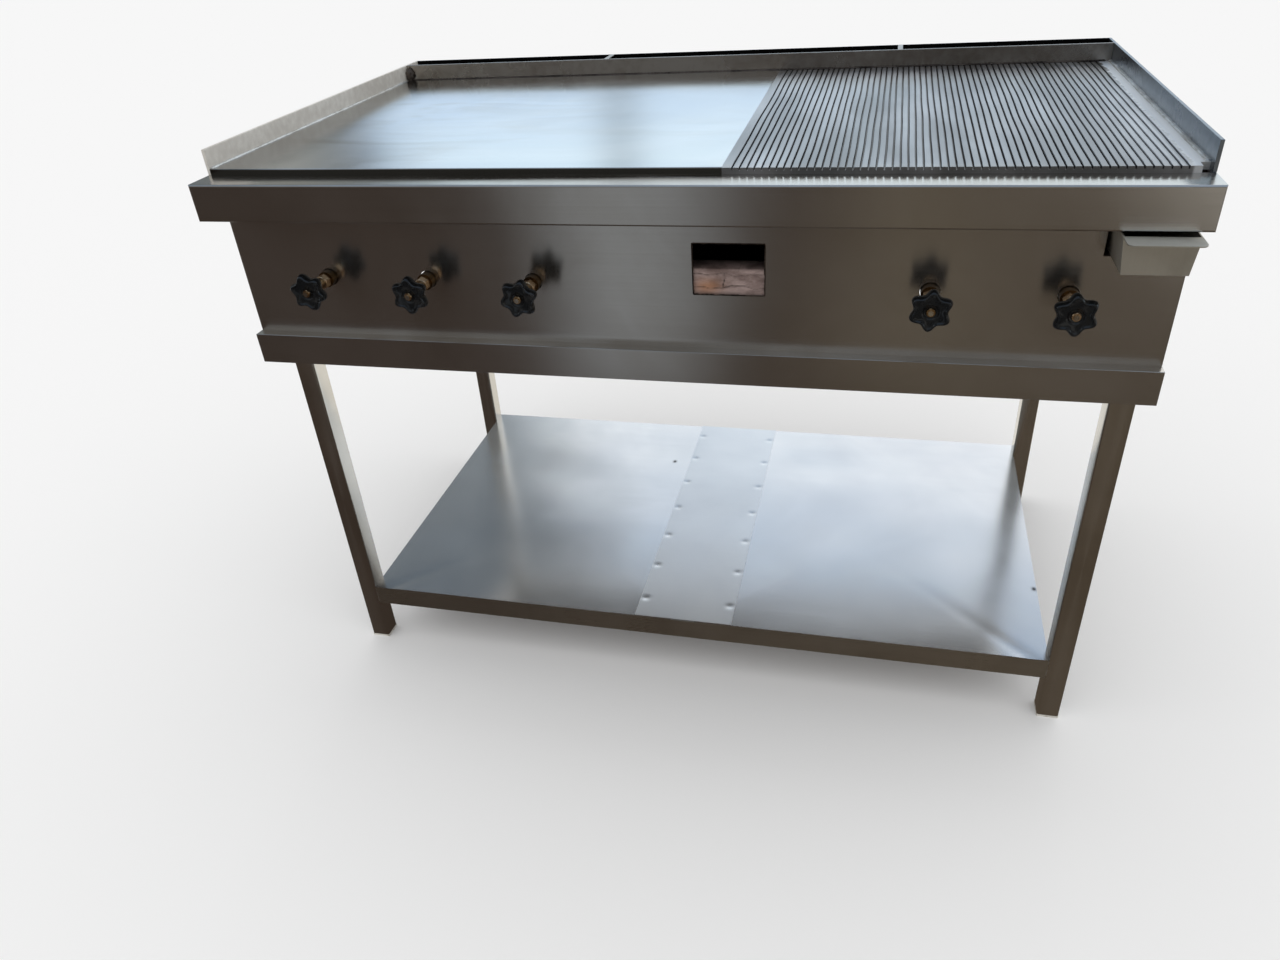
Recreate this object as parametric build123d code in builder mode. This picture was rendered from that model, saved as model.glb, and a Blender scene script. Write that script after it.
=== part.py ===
"""Flat top griddle: smooth and grooved gas-fired cooking plates on an open stand with a low shelf.

Frame: millimetres, X to the right, Y to the back, +Z up.
The origin is on the floor, at the middle of the whole outline.
"""
import os

from build123d import *

os.makedirs("parts", exist_ok=True)

# ---------------------------------------------------------------- driving sizes
# Overall
overall_width = 1200.0
leg_length = 590.0          # floor to the underside of the base frame
base_height = 44.0          # base frame channels
panel_height = 178.0        # front panel, from the base frame to the apron
apron_height = 48.0
plate_thickness = 8.0
guard_rise = 25.0           # guards stand this far above the cooking surface

# Setbacks from the apron's front face towards the back
base_setback = 42.0
plate_setback = 46.0
panel_setback = 59.0
leg_setback = 102.0
lip_reach = 30.0            # the drawer's lip stands this far in front of the apron

# Depths
base_depth = 700.0
plate_depth = 608.0
flue_gap = 44.0
guard_thickness = 4.0
apron_lap = 30.0            # the apron's top flange runs this far under the plates
apron_downfold = 38.5       # and its rear edge is folded down this far

# Sheet and section sizes
sheet = 1.5
bend_radius = 2.5
channel_depth = 42.0
rear_channel_lap = 3.5      # the rear channel reaches at least this far under the back panel
support_leg = 30.0
support_thickness = 3.0
bar_thickness = 6.0
bar_height = 45.0

# Cooking plates
split_x = 86.0              # joint between the smooth and the grooved plate
groove_count = 57
groove_pitch = 8.5
groove_width = 2.0
groove_depth = 4.0
first_groove = 12.0         # from the joint to the first groove
notch_width = 10.0          # grease notch in the grooved plate's front right corner
notch_depth = 13.0

# Flue tabs
flue_tab_x = (-217.0, 278.0)
flue_tab_width = 8.0
flue_tab_thickness = 2.0

# Front panel openings
valve_x = (-466.0, -318.0, -168.0, 331.0, 484.0)
valve_height = 84.0         # above the base frame
valve_hole_gap = 1.0
window_x = 90.0
window_width = 90.0
window_height = 66.0
window_rise = 73.0          # base frame to the window's lower edge

# Stand
tube = 32.0
tube_wall = 1.5
leg_inset = 5.0
cap_thickness = 4.0
cap_plug = 20.0
cap_clearance = 0.2
shelf_height = 118.0        # floor to the top of the shelf rails
rail_height = 36.0
rail_width = 30.0
rail_thickness = 3.0
shelf_sheet = 1.2
strip_width = 162.0
strip_x = -3.0
sheet_seam_gap = 40.0       # bare gap under the centre strip

# Gas train
manifold_radius = 13.45
manifold_wall = 2.6
manifold_gap = 36.0         # panel front to the manifold's nearest side
manifold_rise = 42.0        # base frame to the manifold's axis
manifold_overhang = 37.0    # past the last valve
end_cap_radius = 17.0
end_cap_length = 14.0
elbow_radius = 17.0
pipe_radius = 10.65
pipe_wall = 2.6
inlet_x = -556.0
thread_radius = 10.45
thread_length = 22.0
inlet_reach = 32.0          # past the back panel
pipe_clearance = 2.0
bracket_x = (-400.0, 280.0)
bracket_width = 30.0
drill_over = 1.0            # the stub holes are drilled this far past the manifold's wall
valve_radius = 11.0
valve_front = 12.0          # in front of the panel
valve_length = 78.0
valve_stub_radius = 7.0
jet_radius = 4.0
jet_length = 10.0
jet_bore = 0.8
nut_across_flats = 17.0
nut_length = 13.0

# Valve stem and handwheel
stem_radius = 4.0
stem_fit = 0.05
stem_engagement = 50.0
stem_end_gap = 1.0          # past the stem's end, in the valve body
stem_tail_radius = 3.0
wheel_reach = 64.0          # panel front to the handwheel's front face
wheel_radius = 25.5
wheel_thickness = 15.0
wheel_boss_radius = 10.0
wheel_boss_length = 8.0
wheel_recess_radius = 14.0
wheel_recess = 4.0
wheel_lobes = 6
lobe_radius = 7.0
wheel_edge_radius = 2.5
wheel_nut_flats = 10.0
wheel_nut_length = 4.0
stem_end = 2.0              # the stem's end stands proud of its nut

# Burners
burner_radius = 17.0
burner_wall = 2.0
burner_rise = 141.0         # base frame to the burner heads' axis
burner_start = 60.0         # panel front to the burner heads' front end
burner_length = 470.0
mixer_radius = 13.0
mixer_gap = 6.0             # jet to mixer mouth
mixer_mouth_radius = 19.0
mixer_mouth_length = 26.0
riser_place = 240.0         # panel front to the riser's axis
port_count = 22
port_width = 1.5
burner_rail_leg = 18.0
burner_rail_thickness = 3.0
burner_rail_place = (130.0, 495.0)
pan_thickness = 1.2
pan_slot_width = 30.0
pan_slot_length = 380.0

# Fire brick
brick_length = 230.0
brick_thickness = 32.0
brick_height = 105.0
brick_gap = 2.0
brick_edge = 2.0

# Grease drawer
drawer_x = 551.5
drawer_top_width = 75.0
drawer_bottom_width = 66.0
drawer_height = 41.0
drawer_length = 380.0
drawer_drop = 4.0           # apron's underside to the drawer's rim
drawer_proud = 3.0          # the drawer's face stands proud of the apron's face
drawer_sheet = 1.5
lip_corner = 8.0
slot_gap = 2.0
runner_gap = 0.5
runner_width = 22.0
runner_height = 25.0
runner_extra = 20.0
chute_width = 16.0
chute_depth = 12.0
chute_shift = 10.0
chute_wall = 1.2
chute_clearance = 1.0
chute_side_gap = 1.0
chute_front_gap = 0.5
chute_fit = 0.2             # all round, where the chute passes through the apron

# ---------------------------------------------------------------- stations worked out from them
half_width = overall_width / 2
inner_half = half_width - sheet

apron_front = (lip_reach - base_setback - base_depth) / 2
base_front = apron_front + base_setback
base_back = base_front + base_depth
panel_front = apron_front + panel_setback
panel_inside = panel_front + sheet
plate_front = apron_front + plate_setback
plate_back = plate_front + plate_depth
guard_back = plate_back + guard_thickness
back_front = guard_back + flue_gap
flange_back = plate_front + apron_lap
leg_front = apron_front + leg_setback
rear_channel_front = min(base_back - channel_depth, back_front + sheet - rear_channel_lap)

base_top = leg_length + base_height
apron_bottom = base_top + panel_height
apron_top = apron_bottom + apron_height
plate_top = apron_top + plate_thickness
guard_top = plate_top + guard_rise

valve_z = base_top + valve_height
manifold_y = panel_front + manifold_gap + manifold_radius
manifold_z = base_top + manifold_rise
manifold_end = valve_x[-1] + manifold_overhang
burner_z = base_top + burner_rise
valve_back = panel_front - valve_front + valve_length
jet_back = valve_back + jet_length
drawer_face = apron_front - drawer_proud
drawer_rim = apron_bottom - drawer_drop
drawer_bottom = drawer_rim - drawer_height
leg_centres_x = (-half_width + leg_inset + tube / 2, half_width - leg_inset - tube / 2)
leg_centres_y = (leg_front + tube / 2, base_back - tube / 2)
shelf_half = half_width - leg_inset - tube
pan_top = base_top + pan_thickness


# ---------------------------------------------------------------- shapes used by several pieces
def block(x, y, z, mode=Mode.ADD):
    """A box between two corners, given as (low, high) along each axis."""
    with Locations(((x[0] + x[1]) / 2, (y[0] + y[1]) / 2, (z[0] + z[1]) / 2)):
        Box(x[1] - x[0], y[1] - y[0], z[1] - z[0], mode=mode)


def rod(start, direction, radius, length, mode=Mode.ADD):
    """A round bar from a start point along a direction."""
    with BuildSketch(Plane(origin=start, z_dir=direction), mode=Mode.PRIVATE) as section:
        Circle(radius)
    extrude(section.sketch, amount=length, mode=mode)


def hexagon(start, direction, flats, length, mode=Mode.ADD):
    """A hexagonal bar, sized across its flats."""
    with BuildSketch(Plane(origin=start, z_dir=direction), mode=Mode.PRIVATE) as section:
        RegularPolygon(flats / 2, 6, major_radius=False)
    extrude(section.sketch, amount=length, mode=mode)


def save(piece, name):
    """Labels a finished piece and writes its file."""
    piece.part.label = name
    export_step(piece.part, f"parts/{name}.step")


# ---------------------------------------------------------------- cooking plates and guards
with BuildPart() as smooth_griddle_plate:
    block((-half_width + guard_thickness, split_x), (plate_front, plate_back), (apron_top, plate_top))
save(smooth_griddle_plate, "smooth_griddle_plate")

plate_right = half_width - guard_thickness
with BuildPart() as grooved_griddle_plate:
    block((split_x, plate_right), (plate_front, plate_back), (apron_top, plate_top))
    with BuildSketch(Plane.XY.offset(plate_top)):
        middle = split_x + first_groove + groove_pitch * (groove_count - 1) / 2
        with Locations((middle, (plate_front + plate_back) / 2)):
            with GridLocations(groove_pitch, 1, groove_count, 1):
                Rectangle(groove_width, plate_depth)
    extrude(amount=-groove_depth, mode=Mode.SUBTRACT)
    block(
        (plate_right - notch_width, plate_right),
        (plate_front, plate_front + notch_depth),
        (apron_top, plate_top),
        mode=Mode.SUBTRACT,
    )
save(grooved_griddle_plate, "grooved_griddle_plate")

for name, side in (("left_splash_guard", -1), ("right_splash_guard", 1)):
    edges = sorted((side * (half_width - guard_thickness), side * half_width))
    with BuildPart() as side_guard:
        block(edges, (plate_front, back_front), (apron_top, guard_top))
    save(side_guard, name)

with BuildPart() as back_splash_guard:
    block((-plate_right, plate_right), (plate_back, guard_back), (apron_top, guard_top))
save(back_splash_guard, "back_splash_guard")

with BuildPart() as flue_tabs:
    for x in flue_tab_x:
        block(
            (x - flue_tab_width / 2, x + flue_tab_width / 2),
            (guard_back, back_front),
            (guard_top - flue_tab_thickness, guard_top),
        )
save(flue_tabs, "flue_tabs")

# ---------------------------------------------------------------- grease chute outline
# The chute leans inwards from the notch to the drawer, so its foot is inside the drawer.
chute_top_x = plate_right - chute_width / 2 - chute_side_gap
chute_y = plate_front + chute_depth / 2 + chute_front_gap
chute_bottom = drawer_rim + chute_clearance


def chute_loft(inset, mode=Mode.ADD):
    """The chute's outline, drawn in by an inset, from the apron's top down to the drawer."""
    sections = []
    for z, x in ((apron_top, chute_top_x), (chute_bottom, chute_top_x - chute_shift)):
        with BuildSketch(Plane.XY.offset(z), mode=Mode.PRIVATE) as section:
            with Locations((x, chute_y)):
                Rectangle(chute_width - 2 * inset, chute_depth - 2 * inset)
        sections.append(section.sketch)
    loft(sections, mode=mode)


with BuildPart() as grease_chute:
    chute_loft(0)
    chute_loft(chute_wall, mode=Mode.SUBTRACT)
save(grease_chute, "grease_chute")

# ---------------------------------------------------------------- apron
with BuildPart() as top_apron:
    block((-half_width, half_width), (apron_front, panel_front), (apron_bottom, apron_top))
    front_face = top_apron.faces().sort_by(Axis.Y)[0]
    fillet(front_face.edges(), radius=bend_radius)
    block(
        (-inner_half, inner_half),
        (apron_front + sheet, panel_front),
        (apron_bottom + sheet, apron_top - sheet),
        mode=Mode.SUBTRACT,
    )
    block((-inner_half, inner_half), (panel_front, panel_inside), (apron_bottom, apron_bottom + sheet))
    block((-inner_half, inner_half), (panel_front, flange_back), (apron_top - sheet, apron_top))
    block(
        (-inner_half, inner_half),
        (flange_back - sheet, flange_back),
        (apron_top - apron_downfold, apron_top),
    )
    chute_loft(-chute_fit, mode=Mode.SUBTRACT)
save(top_apron, "top_apron")

# ---------------------------------------------------------------- body panels
with BuildPart() as front_panel:
    block((-inner_half, inner_half), (panel_front, panel_inside), (base_top, apron_bottom))
    for x in valve_x:
        rod((x, panel_front, valve_z), (0, 1, 0), valve_radius + valve_hole_gap, sheet,
            mode=Mode.SUBTRACT)
    block(
        (window_x - window_width / 2, window_x + window_width / 2),
        (panel_front, panel_inside),
        (base_top + window_rise, base_top + window_rise + window_height),
        mode=Mode.SUBTRACT,
    )
    block(
        (drawer_x - drawer_top_width / 2 - slot_gap, drawer_x + drawer_top_width / 2 + slot_gap),
        (panel_front, panel_inside),
        (drawer_bottom - slot_gap, apron_bottom),
        mode=Mode.SUBTRACT,
    )
save(front_panel, "front_panel")

for name, side in (("left_side_panel", -1), ("right_side_panel", 1)):
    edges = sorted((side * inner_half, side * half_width))
    with BuildPart() as side_panel:
        block(edges, (panel_front, back_front), (base_top, apron_top))
    save(side_panel, name)

with BuildPart() as back_panel:
    block((-half_width, half_width), (back_front, back_front + sheet), (base_top, guard_top))
    rod(
        (inlet_x, back_front, manifold_z),
        (0, 1, 0),
        pipe_radius + pipe_clearance,
        sheet,
        mode=Mode.SUBTRACT,
    )
save(back_panel, "back_panel")

with BuildPart() as floor_pan:
    block((-inner_half, inner_half), (panel_inside, back_front), (base_top, pan_top))
    with BuildSketch(Plane.XY.offset(pan_top)):
        with Locations(*[(x, (panel_inside + back_front) / 2) for x in valve_x]):
            SlotOverall(pan_slot_length, pan_slot_width, rotation=90)
    extrude(amount=-pan_thickness, mode=Mode.SUBTRACT)
save(floor_pan, "floor_pan")

with BuildPart() as plate_supports:
    support_low = apron_top - support_leg
    flange_z = (apron_top - support_thickness, apron_top)
    web_z = (support_low, apron_top - support_thickness)
    for side in (-1, 1):
        flange_x = sorted((side * inner_half, side * (inner_half - support_leg)))
        web_x = sorted((side * inner_half, side * (inner_half - support_thickness)))
        block(flange_x, (flange_back, back_front), flange_z)
        block(web_x, (flange_back, back_front), web_z)
    rear_x = (support_leg - inner_half, inner_half - support_leg)
    block(rear_x, (guard_back - support_leg, guard_back), flange_z)
    block(rear_x, (guard_back - support_leg, guard_back - support_leg + support_thickness), web_z)
    block(
        (split_x - bar_thickness / 2, split_x + bar_thickness / 2),
        (flange_back, guard_back - support_leg),
        (apron_top - bar_height, apron_top),
    )
save(plate_supports, "plate_supports")

# ---------------------------------------------------------------- base frame channels
front_channel_back = base_front + channel_depth
for name, outer, inner, step in (
    ("base_frame_front", base_front, front_channel_back, 1),
    ("base_frame_rear", base_back, rear_channel_front, -1),
):
    channel_y = sorted((outer, inner))
    hollow_y = sorted((outer + step * sheet, inner))
    with BuildPart() as channel:
        block((-half_width, half_width), channel_y, (leg_length, base_top))
        block((-inner_half, inner_half), hollow_y, (leg_length + sheet, base_top - sheet),
              mode=Mode.SUBTRACT)
    save(channel, name)

with BuildPart() as base_frame_sides:
    side_y = (front_channel_back, rear_channel_front)
    for side in (-1, 1):
        channel_x = sorted((side * half_width, side * (half_width - channel_depth)))
        hollow_x = sorted((side * inner_half, side * (half_width - channel_depth)))
        block(channel_x, side_y, (leg_length, base_top))
        block(hollow_x, side_y, (leg_length + sheet, base_top - sheet), mode=Mode.SUBTRACT)
save(base_frame_sides, "base_frame_sides")

# ---------------------------------------------------------------- legs and shelf
for row, y in zip(("front", "rear"), leg_centres_y):
    for hand, x in zip(("left", "right"), leg_centres_x):
        with BuildPart() as leg:
            with BuildSketch(Plane.XY.offset(cap_thickness)):
                with Locations((x, y)):
                    Rectangle(tube, tube)
                    Rectangle(tube - 2 * tube_wall, tube - 2 * tube_wall, mode=Mode.SUBTRACT)
            extrude(amount=leg_length - cap_thickness)
        save(leg, f"{row}_{hand}_leg")

with BuildPart() as leg_end_caps:
    plug = tube - 2 * tube_wall - 2 * cap_clearance
    for x in leg_centres_x:
        for y in leg_centres_y:
            block((x - tube / 2, x + tube / 2), (y - tube / 2, y + tube / 2), (0, cap_thickness))
            block((x - plug / 2, x + plug / 2), (y - plug / 2, y + plug / 2), (cap_thickness, cap_plug))
save(leg_end_caps, "leg_end_caps")

rail_web_z = (shelf_height - rail_height, shelf_height - rail_thickness)
rail_flange_z = (shelf_height - rail_thickness, shelf_height)
for name, outer, step in (("shelf_rail_front", leg_front, 1), ("shelf_rail_rear", base_back, -1)):
    with BuildPart() as rail:
        block((-shelf_half, shelf_half), sorted((outer, outer + step * rail_thickness)), rail_web_z)
        block((-shelf_half, shelf_half), sorted((outer, outer + step * rail_width)), rail_flange_z)
    save(rail, name)

with BuildPart() as shelf_side_rails:
    web_y = (leg_front + rail_thickness, base_back - rail_thickness)
    flange_y = (leg_front + rail_width, base_back - rail_width)
    for side in (-1, 1):
        web_x = sorted((side * shelf_half, side * (shelf_half - rail_thickness)))
        flange_x = sorted((side * shelf_half, side * (shelf_half - rail_width)))
        block(web_x, web_y, rail_web_z)
        block(flange_x, flange_y, rail_flange_z)
save(shelf_side_rails, "shelf_side_rails")

shelf_top = shelf_height + shelf_sheet
for name, side in (("left_shelf_sheet", -1), ("right_shelf_sheet", 1)):
    sheet_x = sorted((side * shelf_half, strip_x + side * sheet_seam_gap / 2))
    with BuildPart() as shelf_half_sheet:
        block(sheet_x, (leg_front, base_back), (shelf_height, shelf_top))
    save(shelf_half_sheet, name)

with BuildPart() as shelf_centre_strip:
    block(
        (strip_x - strip_width / 2, strip_x + strip_width / 2),
        (leg_front, base_back),
        (shelf_top, shelf_top + shelf_sheet),
    )
save(shelf_centre_strip, "shelf_centre_strip")

# ---------------------------------------------------------------- gas manifold and inlet
with BuildPart() as gas_manifold:
    manifold_length = manifold_end - inlet_x
    rod((inlet_x, manifold_y, manifold_z), (1, 0, 0), manifold_radius, manifold_length)
    rod(
        (inlet_x, manifold_y, manifold_z),
        (1, 0, 0),
        manifold_radius - manifold_wall,
        manifold_length,
        mode=Mode.SUBTRACT,
    )
    rod((inlet_x, manifold_y, manifold_z), (1, 0, 0), elbow_radius, elbow_radius, mode=Mode.SUBTRACT)
    for x in valve_x:
        rod((x, manifold_y, manifold_z), (0, 0, 1), valve_stub_radius, manifold_radius + drill_over,
            mode=Mode.SUBTRACT)
save(gas_manifold, "gas_manifold")

with BuildPart() as manifold_end_cap:
    rod((manifold_end, manifold_y, manifold_z), (1, 0, 0), end_cap_radius, end_cap_length)
    fillet(manifold_end_cap.edges().group_by(Axis.X)[-1], radius=bend_radius)
save(manifold_end_cap, "manifold_end_cap")

with BuildPart() as inlet_elbow:
    reach = elbow_radius
    rod((inlet_x - reach, manifold_y, manifold_z), (1, 0, 0), elbow_radius, 2 * reach)
    rod((inlet_x, manifold_y - reach, manifold_z), (0, 1, 0), elbow_radius, 2 * reach)
    bore = pipe_radius - pipe_wall
    rod((inlet_x, manifold_y, manifold_z), (1, 0, 0), bore, reach, mode=Mode.SUBTRACT)
    rod((inlet_x, manifold_y, manifold_z), (0, 1, 0), bore, reach, mode=Mode.SUBTRACT)
save(inlet_elbow, "inlet_elbow")

with BuildPart() as inlet_pipe:
    pipe_start = manifold_y + elbow_radius
    pipe_end = back_front + sheet + inlet_reach
    rod((inlet_x, pipe_start, manifold_z), (0, 1, 0), pipe_radius, pipe_end - thread_length - pipe_start)
    rod((inlet_x, pipe_end - thread_length, manifold_z), (0, 1, 0), thread_radius, thread_length)
    rod(
        (inlet_x, pipe_start, manifold_z),
        (0, 1, 0),
        pipe_radius - pipe_wall,
        pipe_end - pipe_start,
        mode=Mode.SUBTRACT,
    )
save(inlet_pipe, "inlet_pipe")

with BuildPart() as manifold_brackets:
    for x in bracket_x:
        block(
            (x - bracket_width / 2, x + bracket_width / 2),
            (manifold_y - bracket_width / 2, manifold_y + bracket_width / 2),
            (pan_top, manifold_z),
        )
    rod(
        (bracket_x[0] - bracket_width, manifold_y, manifold_z),
        (1, 0, 0),
        manifold_radius,
        bracket_x[1] - bracket_x[0] + 2 * bracket_width,
        mode=Mode.SUBTRACT,
    )
save(manifold_brackets, "manifold_brackets")

# ---------------------------------------------------------------- valves, stems and handwheels
valve_nose = panel_front - valve_front
wheel_front = panel_front - wheel_reach
wheel_seat = wheel_front + wheel_recess
wheel_back = wheel_front + wheel_thickness
boss_back = wheel_back + wheel_boss_length
stem_back = valve_nose + stem_engagement

for number, x in enumerate(valve_x, start=1):
    with BuildPart() as gas_valve:
        rod((x, valve_nose, valve_z), (0, 1, 0), valve_radius, valve_length)
        stub_length = valve_z - manifold_z
        rod((x, manifold_y, manifold_z + manifold_radius - manifold_wall), (0, 0, 1),
            valve_stub_radius, stub_length - manifold_radius + manifold_wall)
        rod((x, valve_nose, valve_z), (0, 1, 0), stem_radius + stem_fit, stem_engagement + stem_end_gap,
            mode=Mode.SUBTRACT)
    save(gas_valve, f"gas_valve_{number}")

    with BuildPart() as valve_stem:
        rod((x, boss_back, valve_z), (0, 1, 0), stem_radius, stem_back - boss_back)
        tail_length = boss_back - wheel_seat + wheel_nut_length + stem_end
        rod((x, boss_back, valve_z), (0, -1, 0), stem_tail_radius, tail_length)
    save(valve_stem, f"valve_stem_{number}")

    with BuildPart() as handwheel:
        wheel_plane = Plane(origin=(x, wheel_back, valve_z), x_dir=(1, 0, 0), z_dir=(0, -1, 0))
        with BuildSketch(wheel_plane):
            Circle(wheel_radius - lobe_radius)
            with PolarLocations(wheel_radius - lobe_radius, wheel_lobes, start_angle=90):
                Circle(lobe_radius)
            fillet(vertices(), radius=lobe_radius / 2)
        extrude(amount=wheel_thickness)
        fillet(handwheel.faces().sort_by(Axis.Y)[0].edges(), radius=wheel_edge_radius)
        fillet(handwheel.faces().sort_by(Axis.Y)[-1].edges(), radius=wheel_edge_radius)
        rod((x, wheel_front, valve_z), (0, 1, 0), wheel_recess_radius, wheel_recess, mode=Mode.SUBTRACT)
        rod((x, wheel_back, valve_z), (0, 1, 0), wheel_boss_radius, wheel_boss_length)
        rod((x, wheel_front, valve_z), (0, 1, 0), stem_tail_radius, boss_back - wheel_front,
            mode=Mode.SUBTRACT)
    save(handwheel, f"handwheel_{number}")

    with BuildPart() as handwheel_nut:
        hexagon((x, wheel_seat, valve_z), (0, -1, 0), wheel_nut_flats, wheel_nut_length)
        rod((x, wheel_seat, valve_z), (0, -1, 0), stem_tail_radius, wheel_nut_length, mode=Mode.SUBTRACT)
    save(handwheel_nut, f"handwheel_nut_{number}")

with BuildPart() as valve_packing_nuts:
    for x in valve_x:
        hexagon((x, valve_nose, valve_z), (0, -1, 0), nut_across_flats, nut_length)
        rod((x, valve_nose, valve_z), (0, -1, 0), stem_radius + stem_fit, nut_length, mode=Mode.SUBTRACT)
save(valve_packing_nuts, "valve_packing_nuts")

with BuildPart() as gas_jets:
    for x in valve_x:
        rod((x, valve_back, valve_z), (0, 1, 0), jet_radius, jet_length)
        rod((x, valve_back, valve_z), (0, 1, 0), jet_bore, jet_length, mode=Mode.SUBTRACT)
save(gas_jets, "gas_jets")

# ---------------------------------------------------------------- burners
mixer_start = jet_back + mixer_gap
riser_y = panel_front + riser_place
head_start = panel_front + burner_start


def burner_skin(x, inset, mode=Mode.ADD):
    """One burner's outline, drawn in by an inset: mixer mouth, mixer, riser and head."""
    mouth = Plane(origin=(x, mixer_start, valve_z), z_dir=(0, 1, 0))
    with BuildSketch(mouth, mode=Mode.PRIVATE) as wide:
        Circle(mixer_mouth_radius - inset)
    with BuildSketch(mouth.offset(mixer_mouth_length), mode=Mode.PRIVATE) as narrow:
        Circle(mixer_radius - inset)
    loft([wide.sketch, narrow.sketch], mode=mode)
    mixer_front = mixer_start + mixer_mouth_length
    mixer_end = riser_y + mixer_radius - inset
    rod((x, mixer_front, valve_z), (0, 1, 0), mixer_radius - inset, mixer_end - mixer_front, mode)
    rod((x, riser_y, valve_z - mixer_radius + inset), (0, 0, 1), mixer_radius - inset,
        burner_z - valve_z + mixer_radius - inset, mode)
    rod((x, head_start + inset, burner_z), (0, 1, 0), burner_radius - inset,
        burner_length - 2 * inset, mode)


with BuildPart() as pipe_burners:
    for x in valve_x:
        burner_skin(x, 0)
    for x in valve_x:
        burner_skin(x, burner_wall, mode=Mode.SUBTRACT)
    port_pitch = burner_length / (port_count + 1)
    with Locations((0, head_start + burner_length / 2, burner_z + burner_radius)):
        with Locations(*[(x, 0, 0) for x in valve_x]):
            with GridLocations(1, port_pitch, 1, port_count):
                Box(burner_radius, port_width, burner_radius, mode=Mode.SUBTRACT)
save(pipe_burners, "pipe_burners")

with BuildPart() as burner_rails:
    rail_top = burner_z - burner_radius
    for place in burner_rail_place:
        y = panel_front + place
        block((-inner_half, inner_half), (y, y + burner_rail_leg),
              (rail_top - burner_rail_thickness, rail_top))
        block((-inner_half, inner_half), (y, y + burner_rail_thickness),
              (rail_top - burner_rail_leg, rail_top - burner_rail_thickness))
save(burner_rails, "burner_rails")

with BuildPart() as fire_brick:
    block(
        (window_x - brick_length / 2, window_x + brick_length / 2),
        (panel_inside + brick_gap, panel_inside + brick_gap + brick_thickness),
        (pan_top, pan_top + brick_height),
    )
    chamfer(fire_brick.edges(), length=brick_edge)
save(fire_brick, "fire_brick")

# ---------------------------------------------------------------- grease drawer and its runners


def drawer_section(inset):
    """The drawer's cross-section, drawn in by an inset: wide at the rim, narrow at the bottom."""
    top = drawer_top_width / 2 - inset
    bottom = drawer_bottom_width / 2 - inset
    with BuildLine() as outline:
        Polyline(
            (drawer_x - bottom, drawer_bottom + inset),
            (drawer_x + bottom, drawer_bottom + inset),
            (drawer_x + top, drawer_rim),
            (drawer_x - top, drawer_rim),
            close=True,
        )
    return make_face(outline.line.edges())


with BuildPart() as grease_drawer:
    drawer_plane = Plane(origin=(0, drawer_face, 0), x_dir=(1, 0, 0), z_dir=(0, -1, 0))
    with BuildSketch(drawer_plane):
        add(drawer_section(0))
    extrude(amount=-drawer_length)
    with BuildSketch(drawer_plane.offset(-drawer_sheet)):
        add(drawer_section(drawer_sheet))
    extrude(amount=-(drawer_length - 2 * drawer_sheet), mode=Mode.SUBTRACT)
    lip_length = lip_reach - drawer_proud
    with BuildSketch(Plane.XY.offset(drawer_rim - drawer_sheet)):
        with Locations((drawer_x, drawer_face - lip_length / 2)):
            lip = Rectangle(drawer_top_width, lip_length)
        fillet(lip.vertices().group_by(Axis.Y)[0], radius=lip_corner)
    extrude(amount=drawer_sheet)
save(grease_drawer, "grease_drawer")

with BuildPart() as drawer_runners:
    runner_y = (panel_inside, drawer_face + drawer_length + runner_extra)
    shelf_z = (drawer_bottom - runner_gap - sheet, drawer_bottom - runner_gap)
    left_edge = drawer_x - drawer_top_width / 2 - slot_gap - sheet
    block((left_edge, left_edge + runner_width), runner_y, shelf_z)
    block((left_edge, left_edge + sheet), runner_y, (shelf_z[1], shelf_z[1] + runner_height))
    block((inner_half - runner_width, inner_half), runner_y, shelf_z)
save(drawer_runners, "drawer_runners")
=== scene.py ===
"""Looks of the flat top griddle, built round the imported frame. Metres, +Z up."""
import math

import bmesh
import bpy
from mathutils import Matrix, Vector, noise


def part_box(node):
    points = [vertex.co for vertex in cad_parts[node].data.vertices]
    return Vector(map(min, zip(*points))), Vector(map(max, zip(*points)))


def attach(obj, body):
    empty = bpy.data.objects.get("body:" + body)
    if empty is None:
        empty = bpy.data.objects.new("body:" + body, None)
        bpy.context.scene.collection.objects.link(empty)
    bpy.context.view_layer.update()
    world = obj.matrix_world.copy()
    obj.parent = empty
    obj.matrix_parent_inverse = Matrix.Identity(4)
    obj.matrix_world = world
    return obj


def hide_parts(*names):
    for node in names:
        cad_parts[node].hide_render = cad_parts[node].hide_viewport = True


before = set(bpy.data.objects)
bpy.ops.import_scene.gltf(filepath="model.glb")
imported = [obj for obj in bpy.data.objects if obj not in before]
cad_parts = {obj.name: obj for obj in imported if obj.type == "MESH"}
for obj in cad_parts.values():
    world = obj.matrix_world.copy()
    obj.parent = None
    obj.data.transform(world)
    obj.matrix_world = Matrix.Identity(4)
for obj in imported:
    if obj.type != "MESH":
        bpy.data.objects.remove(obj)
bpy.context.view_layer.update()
STAND = "griddle_stand"
MM = 0.001

# ---------------------------------------------------------------- camera
CAMERA_PLACE = Vector((0.26996, -1.39686, 1.15308))
CAMERA_RIGHT = Vector((0.97019, 0.23330, -0.06555))
CAMERA_UP = Vector((-0.07294, 0.53905, 0.83911))
CAMERA_LENS = 26.31


def make_camera():
    camera = bpy.data.objects.new("camera", bpy.data.cameras.new("camera"))
    bpy.context.scene.collection.objects.link(camera)
    right = CAMERA_RIGHT.normalized()
    back = right.cross(CAMERA_UP).normalized()
    up = back.cross(right)
    turn = Matrix((right, up, back)).transposed().to_4x4()
    camera.matrix_world = Matrix.Translation(CAMERA_PLACE) @ turn
    camera.data.lens = CAMERA_LENS
    camera.data.sensor_width = 36.0
    camera.data.clip_start = 0.05
    camera.data.clip_end = 60.0
    bpy.context.scene.camera = camera


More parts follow.
